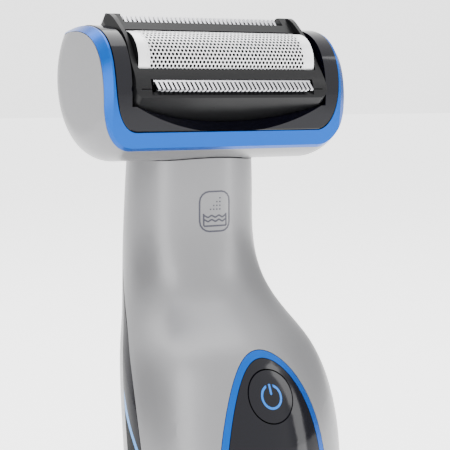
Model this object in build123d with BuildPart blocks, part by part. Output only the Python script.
"""Cordless body groomer: T-shaped foil and trimmer head on a swan-neck handle.

Frame: +Z up along the handle, X along the head, front (control panel) towards -Y.
Origin: centre of the flat base. All lengths in millimetres.
"""

import os
from math import cos, radians, sin

from build123d import *

os.makedirs("parts", exist_ok=True)

# ---------------------------------------------------------------- driving dimensions

# Handle: height, centre in Y, half width in X, half depth in Y of its oval sections.
HANDLE_SECTIONS = [
    (0, 0.0, 17.5, 13.5),
    (10, -0.2, 18.2, 14.1),
    (20, -0.5, 18.9, 14.7),
    (30, -1.0, 19.7, 15.2),
    (40, -1.6, 20.4, 15.7),
    (50, -2.3, 21.2, 16.2),
    (60, -2.9, 21.9, 16.6),
    (70, -3.4, 22.5, 16.9),
    (80, -3.6, 22.9, 17.1),
    (90, -3.2, 23.1, 17.2),
    (100, -1.6, 22.8, 17.3),
    (110, 2.0, 21.3, 16.9),
    (120, 9.4, 17.1, 14.5),
    (130, 14.5, 14.6, 11.9),
    (140, 15.0, 14.1, 10.9),
    (150, 14.6, 13.7, 10.7),
    (160, 13.7, 13.2, 10.2),
    (170, 12.2, 12.3, 9.5),
]
WALL = 1.8
SEAM = 0.12
BASE_CAP_HEIGHT = 9.0

# Head: a lying barrel whose opening faces forward and up.
HEAD_Y = 3.0
HEAD_Z = 171.5
HEAD_TILT = 44.0
BARREL_DROP = 7.0
BARREL_RADIUS = 16.0
BARREL_HALF = 27.8
BARREL_ROUND = 6.2
RIM_TOP = 1.6
RIM_FALL = 12.7
RIM_HALF = 15.3
RIM_RUN = 18.5
BAND_RISE = 1.6
BAND_INSET = 1.9
HOUSING_WALL = 1.6

# Cassette that lifts off the head.
CASSETTE_HALF_X = 22.0
CASSETTE_HALF_Y = 10.9
CASSETTE_FLOOR = -10.0
SKIRT_TOP = -1.0
SKIRT_WALL = 1.2
BAR_TOP = 1.2
BAR_THICKNESS = 1.4
BAR_OUTER = 7.8
FOIL_SLOT_HALF = 5.6
ARM_INNER_X = 20.4
ARM_BEVEL = 1.1
POCKET_GAP = 0.3
POCKET_FLOOR = -11.5
TRAY_BOTTOM = -13.0
SCOOP_FLOOR = -7.7
SCOOP_RADIUS = 55.0
FOIL_RADIUS = 5.8
FOIL_AXIS = -2.0
FOIL_SKIN = 0.25
FOIL_HALF = 20.2
CUTTER_GAP = 0.15
CUTTER_HALF = 17.2
LAMELLA_PITCH = 1.0
LAMELLA_THICKNESS = 0.5
TOOTH_PITCH = 1.0
TOOTH_COUNT = 36
TOOTH_WIDTH = 0.55
TOOTH_ROOT = 8.1
TOOTH_TIP = 10.4
GUARD_THICKNESS = 0.45
STROKE = 0.9

# Drive.
MOTOR_Y = 14.8
MOTOR_RADIUS = 7.0
MOTOR_BOTTOM = 122.0
MOTOR_TOP = 146.0
SHAFT_RADIUS = 0.75
THROW = 0.9
ECCENTRIC_RADIUS = 3.0
CRANK_PIN_RADIUS = 0.8
CRANK_PIN_TOP = 159.0
DRIVE_PIN_RADIUS = 1.2
RUNNING_FIT = 0.05

# Control panel and button.
PANEL_Z = 85.0
PANEL_HALF_X = 12.5
PANEL_HALF_Z = 29.0
PANEL_RING = 1.3
BUTTON_Z = 105.7
BUTTON_RADIUS = 4.8
BUTTON_TRAVEL = 0.5
SYMBOL_RADIUS = 2.1
SYMBOL_STROKE = 0.45

# Power pack.
CELL_Y = 3.0
CELL_RADIUS = 7.1
CELL_LENGTH = 50.0
CELL_BOTTOM = 27.0
BOARD_THICKNESS = 1.2
BOARD_FRONT = -7.0
INLET_WIDTH = 9.0
INLET_DEPTH = 6.5
INLET_HEIGHT = 7.5

# ---------------------------------------------------------------- planes of the head

TILT = radians(HEAD_TILT)
HEAD = Plane((0, HEAD_Y, HEAD_Z), x_dir=(1, 0, 0), z_dir=(0, -sin(TILT), cos(TILT)))
# Side view of the head: first axis rearwards, second axis out of the opening.
HEAD_SIDE = Plane(HEAD.origin, x_dir=HEAD.y_dir, z_dir=(1, 0, 0))


def save(builder, name):
    """Label a finished piece and write it to its own file."""
    builder.part.label = name
    export_step(builder.part, f"parts/{name}.step")


# ---------------------------------------------------------------- shared shapes


def handle_solid(inset):
    """Solid bounded by the handle's outer surface, moved inwards by inset."""
    with BuildPart() as body:
        for height, centre, half_x, half_y in HANDLE_SECTIONS:
            with BuildSketch(Plane((0, centre, height))):
                Ellipse(half_x - inset, half_y - inset)
        loft()
    return body.part


def barrel_solid(inset):
    """Rounded barrel lying along X, moved inwards by inset."""
    with BuildPart() as barrel:
        with BuildSketch(HEAD_SIDE):
            with Locations((0, -BARREL_DROP)):
                Circle(BARREL_RADIUS - inset)
        extrude(amount=BARREL_HALF - inset, both=True)
        round_edges = barrel.edges().filter_by(GeomType.CIRCLE)
        fillet(round_edges, BARREL_ROUND - inset * 0.6)
    return barrel.part


def rim_profile(place, shift):
    """Side view of everything under the arched rim, raised by shift, drawn at X = place."""
    end = shift + RIM_TOP - RIM_FALL * (RIM_RUN / RIM_HALF) ** 2
    crown = 2 * (shift + RIM_TOP) - end
    with BuildSketch(HEAD_SIDE.offset(place)) as profile:
        with BuildLine():
            Bezier((-RIM_RUN, end), (0, crown), (RIM_RUN, end))
            Polyline((RIM_RUN, end), (RIM_RUN, -40), (-RIM_RUN, -40), (-RIM_RUN, end))
        make_face()
    return profile.sketch


def below_rim(shift):
    """Everything under the arched rim surface, raised by shift."""
    with BuildPart() as block:
        extrude(rim_profile(0, shift), amount=40, both=True)
    return block.part


def below_bevelled_rim():
    """The raised rim, falling away at 45 degrees towards both ends of the head."""
    start = BARREL_HALF - BAND_RISE
    run = BAND_RISE + 0.4
    with BuildPart() as block:
        extrude(rim_profile(0, BAND_RISE), amount=start, both=True)
        for end in (-1, 1):
            loft([rim_profile(end * start, BAND_RISE), rim_profile(end * (start + run), BAND_RISE - run)], ruled=True)
    return block.part


def head_box(half_x, half_y, bottom, top):
    """Box centred on the head's opening."""
    with BuildPart() as block:
        with BuildSketch(HEAD.offset(bottom)):
            Rectangle(2 * half_x, 2 * half_y)
        extrude(amount=top - bottom)
    return block.part


def motor_bore(radius, bottom, top):
    """Cylinder about the motor's axis."""
    with BuildPart() as bore:
        with BuildSketch(Plane((0, MOTOR_Y, bottom))):
            Circle(radius)
        extrude(amount=top - bottom)
    return bore.part


# Side view of the handle's parting lines, as (Y, Z) points from the top down.
SEAM_TOP = [(21.5, 180), (20.0, 152), (18.8, 136), (17.0, 128)]
FRONT_EDGE = [(17.0, 128), (12.4, 121.5), (4.8, 115), (-1.8, 106.5), (-6.5, 94), (-9.3, 76), (-9, 52),
              (-5.6, 27), (-1.5, 13)]
BACK_EDGE = [(17.0, 128), (13.8, 121.5), (7.6, 115), (2.6, 106.5), (-1.2, 94), (-2.6, 76), (-1.8, 52),
             (0.0, 27), (-1.5, 13)]
SEAM_BOTTOM = [(-1.5, 13), (-1.0, 0), (-1.0, -6)]
ACCENT_FRONT = [(7.0, 112), (2.2, 106), (-2.0, 100), (-5.6, 95), (-8.6, 90), (-16, 80)]
ACCENT_BACK = [(8.5, 112), (3.4, 106), (-0.9, 100), (-4.6, 95), (-7.0, 89), (-8.5, 76), (-8.2, 52),
               (-4.8, 27), (-1.0, 14), (4, 4)]
FAR = 60


def side_slab(curves, corners):
    """Prism along X whose side view is bounded by splines and straight corners."""
    with BuildPart() as slab:
        with BuildSketch(Plane.YZ):
            with BuildLine():
                for points in curves:
                    Spline(*points)
                Polyline(*corners)
            make_face()
        extrude(amount=FAR, both=True)
    return slab.part


front_half = side_slab(
    [SEAM_TOP, FRONT_EDGE, SEAM_BOTTOM],
    [SEAM_BOTTOM[-1], (-FAR, -6), (-FAR, 180), SEAM_TOP[0]],
)
back_half = side_slab(
    [SEAM_TOP, BACK_EDGE, SEAM_BOTTOM],
    [SEAM_BOTTOM[-1], (FAR, -6), (FAR, 180), SEAM_TOP[0]],
)


def side_region(points, corners):
    """Side-view area between one spline and straight corners."""
    with BuildSketch(Plane.YZ) as area:
        with BuildLine():
            Spline(*points)
            Polyline(points[-1], *corners, points[0])
        make_face()
    return area.sketch_local


ahead_of_accent = side_region(ACCENT_FRONT, [(-FAR, 80), (-FAR, 180), (FAR, 180), (FAR, 112)])
behind_accent = side_region(ACCENT_BACK, [(FAR, 4), (FAR, 112)])

# Tips of the leaf-shaped opening between the two shells on each flank.
LEAF_TOP = (16.1, 126.0)
LEAF_BOTTOM = (-1.6, 14.2)
LEAF_SHOULDER = 0.3


def leaf_edge(edge, shift, shoulder=0.0):
    """One long side of the leaf: the shell's edge moved in by shift, ending at the leaf's own tips.

    The point next to the upper tip is moved in by shoulder as well.
    """
    (first_y, first_z), *others = [(y + shift, z) for y, z in edge[1:-1]]
    return [LEAF_TOP, (first_y + shoulder, first_z), *others, LEAF_BOTTOM]


with BuildSketch(Plane.YZ) as leaf:
    with BuildLine():
        Spline(*leaf_edge(FRONT_EDGE, SEAM, LEAF_SHOULDER))
        Spline(*leaf_edge(BACK_EDGE, -SEAM))
    make_face()

with BuildSketch(Plane.YZ) as inlay_face:
    add(leaf.sketch_local)
    add(ahead_of_accent, mode=Mode.INTERSECT)

with BuildSketch(Plane.YZ) as grip_face:
    add(leaf.sketch_local)
    add(behind_accent, mode=Mode.INTERSECT)

with BuildSketch(Plane.YZ) as accent_face:
    add(leaf.sketch_local)
    add(ahead_of_accent, mode=Mode.SUBTRACT)
    add(behind_accent, mode=Mode.SUBTRACT)

handle_outer = handle_solid(0)
handle_inner = handle_solid(WALL)
head_barrel = barrel_solid(0)
barrel_gap = barrel_solid(-0.2)


def panel_prism(half_x, half_z):
    """Oval prism reaching forwards from the middle of the handle."""
    with BuildPart() as prism:
        with BuildSketch(Plane.XZ):
            with Locations((0, PANEL_Z)):
                Ellipse(half_x, half_z)
        extrude(amount=FAR)
    return prism.part


# ---------------------------------------------------------------- handle shells

with BuildPart() as above_cap_builder:
    with BuildSketch(Plane.XY.offset(BASE_CAP_HEIGHT + SEAM)):
        Rectangle(2 * FAR, 2 * FAR)
    extrude(amount=200)
above_cap = above_cap_builder.part

# Screw places: X, Z and the Y that the underside of the screw's head rests at.
SCREWS = [(-11.6, 20, 9.0), (11.6, 20, 9.0), (-15.5, 100, 8.0), (15.5, 100, 8.0)]
POST_RADIUS = 2.7
POST_SPLIT_Y = 5.0
SCREW_RADIUS = 1.1
SCREW_LENGTH = 9.0
SCREW_HEAD_RADIUS = 2.1
SCREW_HEAD_HEIGHT = 1.2


def screw_posts(start, end):
    """Posts along Y at the screw places, from start to end in Y, kept inside the handle."""
    with BuildPart() as posts:
        with BuildSketch(Plane.XZ.offset(-end)):
            with Locations([(x, z) for x, z, _ in SCREWS]):
                Circle(POST_RADIUS)
        extrude(amount=end - start)
        add(handle_outer, mode=Mode.INTERSECT)
    return posts.part


def screw_bores(radius, before, after):
    """One bore at each screw place, from its seat minus before to its seat plus after."""
    with BuildPart() as bores:
        for x, z, seat in SCREWS:
            with BuildSketch(Plane.XZ.offset(-(seat + after))):
                with Locations((x, z)):
                    Circle(radius)
            extrude(amount=before + after)
    return bores.part


with BuildPart() as front_shell:
    add(handle_outer)
    add(handle_inner, mode=Mode.SUBTRACT)
    add(front_half, mode=Mode.INTERSECT)
    add(screw_posts(-30, POST_SPLIT_Y))
    add(screw_bores(SCREW_RADIUS, SCREW_LENGTH + 1, 0), mode=Mode.SUBTRACT)
    add(above_cap, mode=Mode.INTERSECT)
    add(barrel_gap, mode=Mode.SUBTRACT)
    add(panel_prism(PANEL_HALF_X + SEAM, PANEL_HALF_Z + SEAM), mode=Mode.SUBTRACT)
save(front_shell, "front_shell")

with BuildPart() as back_shell:
    add(handle_outer)
    add(handle_inner, mode=Mode.SUBTRACT)
    add(back_half, mode=Mode.INTERSECT)
    add(screw_posts(POST_SPLIT_Y, 30))
    add(screw_bores(SCREW_RADIUS, SCREW_LENGTH, 0), mode=Mode.SUBTRACT)
    add(screw_bores(SCREW_HEAD_RADIUS + SEAM, 0, 20), mode=Mode.SUBTRACT)
    add(above_cap, mode=Mode.INTERSECT)
    add(barrel_gap, mode=Mode.SUBTRACT)
save(back_shell, "back_shell")

with BuildPart() as shell_screws:
    add(screw_bores(SCREW_RADIUS, SCREW_LENGTH, 0))
    add(screw_bores(SCREW_HEAD_RADIUS, 0, SCREW_HEAD_HEIGHT))
    for x, z, seat in SCREWS:
        with BuildSketch(Plane.XZ.offset(-(seat + SCREW_HEAD_HEIGHT))):
            with Locations((x, z)):
                Rectangle(2.4, 0.5)
                Rectangle(0.5, 2.4)
        extrude(amount=0.6, mode=Mode.SUBTRACT)
save(shell_screws, "shell_screws")

# Side leaves: a gloss inlay above, a thin blue accent, a rubber grip below.
LEAF_PIECES = (("side_inlay", inlay_face), ("side_accent", accent_face), ("side_grip", grip_face))
for side, sign in (("left", -1), ("right", 1)):
    for piece_name, outline in LEAF_PIECES:
        with BuildPart() as leaf_piece:
            extrude(outline.sketch, amount=sign * FAR)
            add(handle_outer, mode=Mode.INTERSECT)
            add(handle_inner, mode=Mode.SUBTRACT)
        save(leaf_piece, f"{side}_{piece_name}")

# ---------------------------------------------------------------- control panel

PANEL_THICKNESS = 1.6
LEDGE_IN = 2.6
LEDGE_OUT = 1.0
LEDGE_THICKNESS = 0.9
SWITCH_SIZE = 6.0
SWITCH_DEPTH = 2.4
SWITCH_PLUNGER_RADIUS = 1.6
SWITCH_PLUNGER_TIP = -9.9
BUTTON_BACK_Y = -13.0
BUTTON_STEM_RADIUS = 1.5
BUTTON_STEM_END = SWITCH_PLUNGER_TIP - BUTTON_TRAVEL - 0.1
BUTTON_CLEARANCE = 0.25
LIGHT_Z = 64.0
LIGHT_RADIUS = 1.2

panel_inner = handle_solid(PANEL_THICKNESS)
ledge_inner = handle_solid(WALL + LEDGE_THICKNESS)


def front_disc(radius, height, start=0.0, end=FAR):
    """Cylinder reaching forwards along -Y at the given height, from Y = -start to Y = -end."""
    with BuildPart() as disc:
        with BuildSketch(Plane.XZ.offset(start)):
            with Locations((0, height)):
                Circle(radius)
        extrude(amount=end - start)
    return disc.part


def power_mark(depth_start, depth_end):
    """Broken ring and upright stroke of the power symbol, as a prism along Y."""
    with BuildPart() as mark:
        with BuildSketch(Plane.XZ.offset(depth_start)):
            with Locations((0, BUTTON_Z)):
                Circle(SYMBOL_RADIUS + SYMBOL_STROKE / 2)
                Circle(SYMBOL_RADIUS - SYMBOL_STROKE / 2, mode=Mode.SUBTRACT)
            with Locations((0, BUTTON_Z + SYMBOL_RADIUS)):
                Rectangle(1.5, 1.6, mode=Mode.SUBTRACT)
            with Locations((0, BUTTON_Z + SYMBOL_RADIUS * 0.75)):
                SlotOverall(2.4, SYMBOL_STROKE, rotation=90)
        extrude(amount=depth_end - depth_start)
    return mark.part


with BuildPart() as panel_ring:
    add(handle_outer)
    add(handle_inner, mode=Mode.SUBTRACT)
    add(panel_prism(PANEL_HALF_X, PANEL_HALF_Z), mode=Mode.INTERSECT)
    add(panel_prism(PANEL_HALF_X - PANEL_RING, PANEL_HALF_Z - PANEL_RING), mode=Mode.SUBTRACT)
save(panel_ring, "panel_ring")

with BuildPart() as panel_ledge:
    add(handle_inner)
    add(ledge_inner, mode=Mode.SUBTRACT)
    add(panel_prism(PANEL_HALF_X + LEDGE_OUT, PANEL_HALF_Z + LEDGE_OUT), mode=Mode.INTERSECT)
    add(panel_prism(PANEL_HALF_X - LEDGE_IN, PANEL_HALF_Z - LEDGE_IN), mode=Mode.SUBTRACT)
    add(front_disc(BUTTON_RADIUS + 2 * BUTTON_CLEARANCE, BUTTON_Z), mode=Mode.SUBTRACT)
save(panel_ledge, "panel_mount_frame")

glass_half_x = PANEL_HALF_X - PANEL_RING - SEAM
glass_half_z = PANEL_HALF_Z - PANEL_RING - SEAM
with BuildPart() as control_panel:
    add(handle_outer)
    add(panel_inner, mode=Mode.SUBTRACT)
    add(panel_prism(glass_half_x, glass_half_z), mode=Mode.INTERSECT)
    add(front_disc(BUTTON_RADIUS + BUTTON_CLEARANCE, BUTTON_Z), mode=Mode.SUBTRACT)
    add(front_disc(LIGHT_RADIUS, LIGHT_Z), mode=Mode.SUBTRACT)
save(control_panel, "control_panel")

with BuildPart() as charge_light:
    add(handle_outer)
    add(panel_inner, mode=Mode.SUBTRACT)
    add(front_disc(LIGHT_RADIUS - RUNNING_FIT, LIGHT_Z), mode=Mode.INTERSECT)
save(charge_light, "charge_light_lens")

with BuildPart() as button_cap:
    add(handle_outer)
    add(front_disc(BUTTON_RADIUS, BUTTON_Z, -BUTTON_BACK_Y), mode=Mode.INTERSECT)
    add(front_disc(BUTTON_STEM_RADIUS, BUTTON_Z, -BUTTON_STEM_END, -BUTTON_BACK_Y))
    add(power_mark(16.0, FAR), mode=Mode.SUBTRACT)
save(button_cap, "power_button")

with BuildPart() as power_symbol:
    add(handle_outer)
    add(power_mark(16.0, FAR), mode=Mode.INTERSECT)
save(power_symbol, "power_symbol_light")

# ---------------------------------------------------------------- electronics and power

BOARD_HALF_X = 9.4
BOARD_BOTTOM = 26.0
BOARD_TOP = 110.0

with BuildPart() as circuit_board:
    with BuildSketch(Plane.XZ.offset(-BOARD_FRONT - BOARD_THICKNESS)):
        with Locations((0, (BOARD_BOTTOM + BOARD_TOP) / 2)):
            RectangleRounded(2 * BOARD_HALF_X, BOARD_TOP - BOARD_BOTTOM, 1.5)
    extrude(amount=BOARD_THICKNESS)
save(circuit_board, "circuit_board")

with BuildPart() as tact_switch:
    with BuildSketch(Plane.XZ.offset(-BOARD_FRONT)):
        with Locations((0, BUTTON_Z)):
            Rectangle(SWITCH_SIZE, SWITCH_SIZE)
    extrude(amount=SWITCH_DEPTH)
    with BuildSketch(Plane.XZ.offset(-BOARD_FRONT + SWITCH_DEPTH)):
        with Locations((0, BUTTON_Z)):
            Circle(SWITCH_PLUNGER_RADIUS)
    extrude(amount=-SWITCH_PLUNGER_TIP + BOARD_FRONT - SWITCH_DEPTH)
save(tact_switch, "power_switch")

with BuildPart() as board_chips:
    with BuildSketch(Plane.XZ.offset(-BOARD_FRONT)):
        with Locations((0, 84)):
            Rectangle(7, 7)
        with Locations((-5, 72), (5, 72), (0, 50)):
            Rectangle(4, 3)
        with Locations((0, LIGHT_Z)):
            Rectangle(3, 2)
    extrude(amount=1.1)
save(board_chips, "board_components")

with BuildPart() as battery_cell:
    with BuildSketch(Plane((0, CELL_Y, CELL_BOTTOM))):
        Circle(CELL_RADIUS)
    extrude(amount=CELL_LENGTH)
    chamfer(battery_cell.edges().filter_by(GeomType.CIRCLE), 0.5)
    with BuildSketch(Plane((0, CELL_Y, CELL_BOTTOM + CELL_LENGTH))):
        Circle(2.6)
    extrude(amount=0.8)
save(battery_cell, "battery_cell")

HOLDER_RADIUS = 8.1
HOLDER_GAP = 0.1
with BuildPart() as battery_holder:
    with BuildSketch(Plane((0, CELL_Y, CELL_BOTTOM + 1))):
        Circle(HOLDER_RADIUS)
        Circle(CELL_RADIUS + HOLDER_GAP, mode=Mode.SUBTRACT)
        with Locations((0, -HOLDER_RADIUS - 2)):
            Rectangle(4 * HOLDER_RADIUS, 2 * HOLDER_RADIUS, mode=Mode.SUBTRACT)
    extrude(amount=CELL_LENGTH - 2)
save(battery_holder, "battery_holder")

TAB_THICKNESS = 0.3
TAB_REACH = CELL_Y - BOARD_FRONT - BOARD_THICKNESS
for end_name, tab_height in (("negative", CELL_BOTTOM - TAB_THICKNESS), ("positive", CELL_BOTTOM + CELL_LENGTH + 0.8)):
    with BuildPart() as battery_tab:
        with BuildSketch(Plane((0, CELL_Y, tab_height))):
            Circle(3.5)
            with Locations((0, -TAB_REACH / 2)):
                Rectangle(3, TAB_REACH)
        extrude(amount=TAB_THICKNESS)
    save(battery_tab, f"battery_tab_{end_name}")

# ---------------------------------------------------------------- base

BASE_THICKNESS = 2.0
BASE_EDGE = 1.2
with BuildPart() as base_cap:
    add(handle_outer)
    fillet(base_cap.faces().sort_by(Axis.Z)[0].edges(), BASE_EDGE)
    add(above_cap, mode=Mode.SUBTRACT)
    with BuildSketch(Plane.XY.offset(BASE_THICKNESS)):
        Ellipse(HANDLE_SECTIONS[0][2] - 2, HANDLE_SECTIONS[0][3] - 2)
    extrude(amount=20, mode=Mode.SUBTRACT)
    with BuildSketch(Plane.XY.offset(BASE_CAP_HEIGHT - 0.01)):
        Rectangle(2 * FAR, 2 * FAR)
    extrude(amount=20, mode=Mode.SUBTRACT)
    with BuildSketch(Plane.XY.offset(-1)):
        RectangleRounded(INLET_WIDTH + 2, INLET_DEPTH + 2, 1.6)
    extrude(amount=20, mode=Mode.SUBTRACT)
save(base_cap, "base_cap")

INLET_WALL = 1.0
with BuildPart() as charging_socket:
    with BuildSketch(Plane.XY):
        RectangleRounded(INLET_WIDTH + 2 * INLET_WALL, INLET_DEPTH + 2 * INLET_WALL, 1.6)
    extrude(amount=INLET_HEIGHT + 2)
    with BuildSketch(Plane.XY.offset(-1)):
        RectangleRounded(INLET_WIDTH, INLET_DEPTH, 1.0)
    extrude(amount=INLET_HEIGHT + 1, mode=Mode.SUBTRACT)
    with BuildSketch(Plane.XY):
        with Locations((-2.2, 0), (2.2, 0)):
            Circle(0.75)
    extrude(amount=20, mode=Mode.SUBTRACT)
save(charging_socket, "charging_socket")

PIN_TIP = 4.6
with BuildPart() as charging_pins:
    with BuildSketch(Plane.XY.offset(PIN_TIP)):
        with Locations((-2.2, 0), (2.2, 0)):
            Circle(0.75)
    extrude(amount=INLET_HEIGHT + 4 - PIN_TIP)
save(charging_pins, "charging_pins")

with BuildPart() as base_seal:
    with BuildSketch(Plane.XY.offset(BASE_CAP_HEIGHT - 1.2)):
        Ellipse(14.6, 10.6)
        Ellipse(13.4, 9.4, mode=Mode.SUBTRACT)
    extrude(amount=1.1)
save(base_seal, "base_seal")

# ---------------------------------------------------------------- motor and drive

with BuildPart() as motor:
    add(motor_bore(MOTOR_RADIUS, MOTOR_BOTTOM, MOTOR_TOP))
    fillet(motor.edges().filter_by(GeomType.CIRCLE), 0.8)
    add(motor_bore(2.4, MOTOR_TOP, MOTOR_TOP + 0.7))
    add(motor_bore(SHAFT_RADIUS + RUNNING_FIT, MOTOR_TOP - 6, MOTOR_TOP + 5), mode=Mode.SUBTRACT)
save(motor, "motor")

with BuildPart() as motor_holder:
    add(motor_bore(8.6, MOTOR_BOTTOM + 4, MOTOR_BOTTOM + 19))
    add(motor_bore(MOTOR_RADIUS + HOLDER_GAP, 0, 200), mode=Mode.SUBTRACT)
save(motor_holder, "motor_holder")

with BuildPart() as motor_shaft:
    add(motor_bore(SHAFT_RADIUS, MOTOR_TOP - 5.5, MOTOR_TOP + 4.4))
save(motor_shaft, "motor_shaft")

ECCENTRIC_BOTTOM = MOTOR_TOP + 1.6
ECCENTRIC_TOP = MOTOR_TOP + 5.0
with BuildPart() as eccentric:
    add(motor_bore(ECCENTRIC_RADIUS, ECCENTRIC_BOTTOM, ECCENTRIC_TOP))
    add(motor_bore(SHAFT_RADIUS, MOTOR_TOP, MOTOR_TOP + 4.4), mode=Mode.SUBTRACT)
    with BuildSketch(Plane((0, MOTOR_Y - THROW, ECCENTRIC_TOP))):
        Circle(CRANK_PIN_RADIUS)
    extrude(amount=CRANK_PIN_TOP - ECCENTRIC_TOP)
save(eccentric, "eccentric")

BOOT_OUTER = 5.9
BOOT_INNER = 3.7
BOOT_TOP = 153.2
with BuildPart() as drive_seal:
    add(motor_bore(BOOT_OUTER, MOTOR_TOP, BOOT_TOP))
    add(motor_bore(BOOT_INNER, MOTOR_TOP - 1, BOOT_TOP + 1), mode=Mode.SUBTRACT)
save(drive_seal, "drive_seal")

BRIDGE_BOTTOM = -16.4
BRIDGE_TOP = -14.0
BRIDGE_HALF_X = 9.0
BRIDGE_HALF_Y = 4.5
FORK_HALF_X = 5.0
FORK_BOTTOM = -19.8
FORK_SLOT_HALF = CRANK_PIN_RADIUS + THROW + STROKE + 0.35
DRIVE_PIN_TOP = -8.6


def fork_slot():
    """Upright slot that the crank pin turns in."""
    with BuildPart() as slot:
        with BuildSketch(Plane((0, MOTOR_Y, 140))):
            Rectangle(2 * FORK_SLOT_HALF, 5.2)
        extrude(amount=CRANK_PIN_TOP + 0.5 - 140)
    return slot.part


with BuildPart() as drive_bridge:
    add(head_box(BRIDGE_HALF_X, BRIDGE_HALF_Y, BRIDGE_BOTTOM, BRIDGE_TOP))
    with BuildSketch(HEAD.offset(FORK_BOTTOM)):
        with Locations((0, -2)):
            Rectangle(2 * FORK_HALF_X, 6)
    extrude(amount=BRIDGE_BOTTOM - FORK_BOTTOM)
    add(fork_slot(), mode=Mode.SUBTRACT)
    with BuildSketch(HEAD.offset(BRIDGE_TOP)):
        Circle(DRIVE_PIN_RADIUS)
    extrude(amount=DRIVE_PIN_TOP - BRIDGE_TOP)
save(drive_bridge, "drive_bridge")

RAIL_GAP = 0.3
with BuildPart() as bridge_rails:
    with BuildSketch(HEAD.offset(BRIDGE_BOTTOM)):
        for rail_side in (-1, 1):
            with Locations((0, rail_side * (BRIDGE_HALF_Y + RAIL_GAP + 0.7))):
                Rectangle(24, 1.4)
    extrude(amount=TRAY_BOTTOM - BRIDGE_BOTTOM)
save(bridge_rails, "bridge_guide_rails")

# ---------------------------------------------------------------- head

with BuildPart() as head_housing:
    add(head_barrel)
    add(below_rim(0), mode=Mode.INTERSECT)
    add(barrel_solid(HOUSING_WALL), mode=Mode.SUBTRACT)
    add(motor_bore(BOOT_OUTER + 0.1, MOTOR_TOP - 2, CRANK_PIN_TOP), mode=Mode.SUBTRACT)
save(head_housing, "head_housing")

with BuildPart() as head_ring:
    add(head_barrel)
    add(below_bevelled_rim(), mode=Mode.INTERSECT)
    add(below_rim(SEAM), mode=Mode.SUBTRACT)
    add(barrel_solid(BAND_INSET), mode=Mode.SUBTRACT)
save(head_ring, "head_trim_ring")

with BuildPart() as head_bezel:
    add(barrel_solid(BAND_INSET + SEAM))
    add(below_rim(BAND_RISE + 0.2), mode=Mode.INTERSECT)
    add(head_box(60, 60, -60, TRAY_BOTTOM), mode=Mode.SUBTRACT)
    add(head_box(CASSETTE_HALF_X + POCKET_GAP, CASSETTE_HALF_Y + POCKET_GAP, POCKET_FLOOR, 30), mode=Mode.SUBTRACT)
    for scoop_side in (-1, 1):
        with BuildSketch(Plane(HEAD.origin, x_dir=HEAD.x_dir, z_dir=HEAD.y_dir).offset(scoop_side * CASSETTE_HALF_Y)):
            with Locations((0, -SCOOP_FLOOR - SCOOP_RADIUS)):
                Circle(SCOOP_RADIUS)
        extrude(amount=scoop_side * 10, mode=Mode.SUBTRACT)
    with BuildSketch(HEAD.offset(TRAY_BOTTOM)):
        SlotOverall(2 * (DRIVE_PIN_RADIUS + STROKE + 0.4), 2 * (DRIVE_PIN_RADIUS + 0.4))
    extrude(amount=5, mode=Mode.SUBTRACT)
save(head_bezel, "head_bezel")

# ---------------------------------------------------------------- cassette

ARM_PROFILE = [(-CASSETTE_HALF_Y, -1.4), (-8, 0.6), (-3.5, 1.6), (0.5, 2.6), (6, 2.5), (9.6, 1.6),
               (CASSETTE_HALF_Y, 0.2)]
CAVITY_TOP = BAR_TOP - BAR_THICKNESS
CAVITY_HALF_Y = CASSETTE_HALF_Y - SKIRT_WALL
TRIMMER_HALF_X = TOOTH_COUNT * TOOTH_PITCH / 2 + 0.6

with BuildPart() as cassette_frame:
    with BuildSketch(HEAD_SIDE):
        with BuildLine():
            Spline(*ARM_PROFILE)
            Polyline(
                ARM_PROFILE[-1],
                (CASSETTE_HALF_Y, CASSETTE_FLOOR),
                (-CASSETTE_HALF_Y, CASSETTE_FLOOR),
                ARM_PROFILE[0],
            )
        make_face()
    extrude(amount=CASSETTE_HALF_X, both=True)
    fillet(cassette_frame.edges().filter_by(Axis(HEAD.origin, HEAD.z_dir)), 1.6)
    add(head_box(ARM_INNER_X, 30, BAR_TOP, 30), mode=Mode.SUBTRACT)
    for end in (-1, 1):
        with BuildSketch(Plane(HEAD.origin, x_dir=HEAD.x_dir, z_dir=HEAD.y_dir).offset(-30)):
            with BuildLine():
                Polyline(
                    (end * CASSETTE_HALF_X, 0.2),
                    (end * (CASSETTE_HALF_X - ARM_BEVEL), -4),
                    (end * 40, -4),
                    (end * 40, 0.2),
                    close=True,
                )
            make_face()
        extrude(amount=60, mode=Mode.SUBTRACT)
    add(head_box(CASSETTE_HALF_X - SKIRT_WALL, CAVITY_HALF_Y, CASSETTE_FLOOR - 1, CAVITY_TOP), mode=Mode.SUBTRACT)
    add(head_box(FOIL_HALF + 0.15, FOIL_SLOT_HALF, CAVITY_TOP - 1, 30), mode=Mode.SUBTRACT)
    for slot_side in (-1, 1):
        with BuildSketch(HEAD.offset(CAVITY_TOP - 0.5)):
            with Locations((0, slot_side * (BAR_OUTER + CAVITY_HALF_Y) / 2)):
                Rectangle(2 * TRIMMER_HALF_X, CAVITY_HALF_Y - BAR_OUTER + 0.01)
        extrude(amount=20, mode=Mode.SUBTRACT)
        with BuildSketch(HEAD.offset(SKIRT_TOP)):
            with Locations((0, slot_side * (CAVITY_HALF_Y + 5))):
                Rectangle(2 * TRIMMER_HALF_X, 10)
        extrude(amount=20, mode=Mode.SUBTRACT)
save(cassette_frame, "cassette_frame")


def arch(radius, bottom, half_x):
    """Half round top on straight legs, running along X."""
    with BuildPart() as hoop:
        with BuildSketch(HEAD_SIDE):
            with Locations((0, FOIL_AXIS)):
                Circle(radius)
            with Locations((0, (FOIL_AXIS + bottom) / 2)):
                Rectangle(2 * radius, FOIL_AXIS - bottom)
            with Locations((0, bottom - 10)):
                Rectangle(40, 20, mode=Mode.SUBTRACT)
        extrude(amount=half_x, both=True)
    return hoop.part


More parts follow.
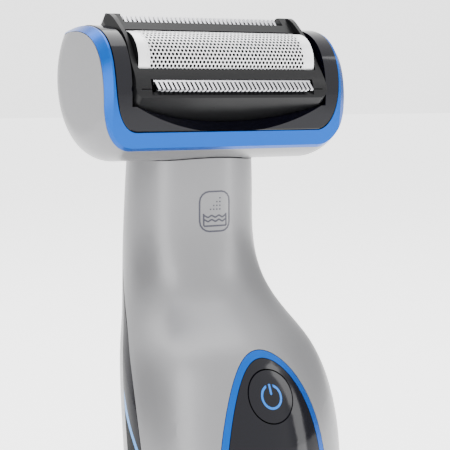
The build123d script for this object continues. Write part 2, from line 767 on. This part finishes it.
FOIL_LEG = -4.5
END_BLOCK_INNER = 18.5
with BuildPart() as shaving_foil:
    add(arch(FOIL_RADIUS, FOIL_LEG, FOIL_HALF))
    add(arch(FOIL_RADIUS - FOIL_SKIN, FOIL_LEG - 1, FOIL_HALF + 1), mode=Mode.SUBTRACT)
save(shaving_foil, "shaving_foil")

with BuildPart() as foil_end_blocks:
    add(arch(FOIL_RADIUS - FOIL_SKIN, CASSETTE_FLOOR, FOIL_HALF))
    add(head_box(END_BLOCK_INNER, 30, -30, 30), mode=Mode.SUBTRACT)
save(foil_end_blocks, "foil_end_blocks")

CUTTER_RADIUS = FOIL_RADIUS - FOIL_SKIN - CUTTER_GAP
CUTTER_BASE_TOP = -3.2
CUTTER_BASE_BOTTOM = -6.4
CARRIER_BOTTOM = -9.4
CARRIER_TOP = -7.4
CARRIER_HALF_Y = 9.2
SPRING_X = 9.0
SPRING_WELL = 2.1
WELL_TOP = -4.2
LAMELLAE = 2 * int(CUTTER_HALF / LAMELLA_PITCH) + 1

with BuildPart() as cutter_block:
    with BuildSketch(HEAD_SIDE):
        with Locations((0, FOIL_AXIS)):
            Circle(CUTTER_RADIUS)
        with Locations((0, CUTTER_BASE_TOP - 10)):
            Rectangle(40, 20, mode=Mode.SUBTRACT)
    extrude(amount=LAMELLA_THICKNESS / 2, both=True)
    lamella = cutter_block.part
    for number in range(1, LAMELLAE // 2 + 1):
        for direction in (-1, 1):
            add(lamella.moved(Location((direction * number * LAMELLA_PITCH, 0, 0))))
    add(head_box(CUTTER_HALF, 4.2, CUTTER_BASE_BOTTOM, CUTTER_BASE_TOP + 0.2))
    for spring_x in (-SPRING_X, SPRING_X):
        with BuildSketch(HEAD.offset(CUTTER_BASE_BOTTOM)):
            with Locations((spring_x, 0)):
                Circle(SPRING_WELL)
        extrude(amount=WELL_TOP - CUTTER_BASE_BOTTOM, mode=Mode.SUBTRACT)
save(cutter_block, "cutter_block")

SPRING_WIRE = 0.22
SPRING_COIL = 1.6
with BuildPart() as cutter_springs:
    for spring_x in (-SPRING_X, SPRING_X):
        seat = HEAD.offset(CARRIER_TOP + SPRING_WIRE).from_local_coords((spring_x, 0, 0))
        with BuildLine():
            coil = Helix(0.8, WELL_TOP - CARRIER_TOP - 2 * SPRING_WIRE, SPRING_COIL, center=seat, direction=HEAD.z_dir)
        with BuildSketch(Plane(coil @ 0, z_dir=coil % 0)):
            Circle(SPRING_WIRE)
        sweep(path=coil)
save(cutter_springs, "cutter_springs")

with BuildPart() as cutter_carrier:
    add(head_box(16.4, CARRIER_HALF_Y, CARRIER_BOTTOM, CARRIER_TOP))
    for post_side in (-1, 1):
        with BuildSketch(HEAD.offset(CARRIER_TOP)):
            with Locations((0, post_side * 8.6)):
                Rectangle(32.8, 1.2)
        extrude(amount=-0.5 - CARRIER_TOP)
    with BuildSketch(HEAD.offset(CARRIER_BOTTOM)):
        Rectangle(2 * (DRIVE_PIN_RADIUS + RUNNING_FIT), 4.4)
    extrude(amount=1.4, mode=Mode.SUBTRACT)
save(cutter_carrier, "cutter_carrier")


def comb(side, count, root, tip, bottom, thickness):
    """Flat comb whose teeth point away from the foil on the given side."""
    strip = root - BAR_OUTER
    length = count * TOOTH_PITCH
    with BuildPart() as plate:
        with BuildSketch(HEAD.offset(bottom)):
            with Locations((0, side * (BAR_OUTER + root) / 2)):
                Rectangle(length, strip)
            with Locations((0, side * (root + tip) / 2)):
                with GridLocations(TOOTH_PITCH, 1, count, 1):
                    Rectangle(TOOTH_WIDTH, tip - root + 0.02)
        extrude(amount=thickness)
    return plate.part


BLADE_BOTTOM = -0.5
GUARD_BOTTOM = 0.05
for side_name, side in (("front", -1), ("rear", 1)):
    with BuildPart() as guard:
        add(comb(side, TOOTH_COUNT, TOOTH_ROOT + 0.3, TOOTH_TIP, GUARD_BOTTOM, GUARD_THICKNESS))
    save(guard, f"{side_name}_trimmer_guard")

    with BuildPart() as blade:
        add(comb(side, TOOTH_COUNT - 2, TOOTH_ROOT + 0.3, TOOTH_TIP - 0.3, BLADE_BOTTOM, GUARD_THICKNESS))
        add(head_box(30, BAR_OUTER + 0.15, BLADE_BOTTOM - 1, BLADE_BOTTOM + 2), mode=Mode.SUBTRACT)
    save(blade, f"{side_name}_trimmer_blade")
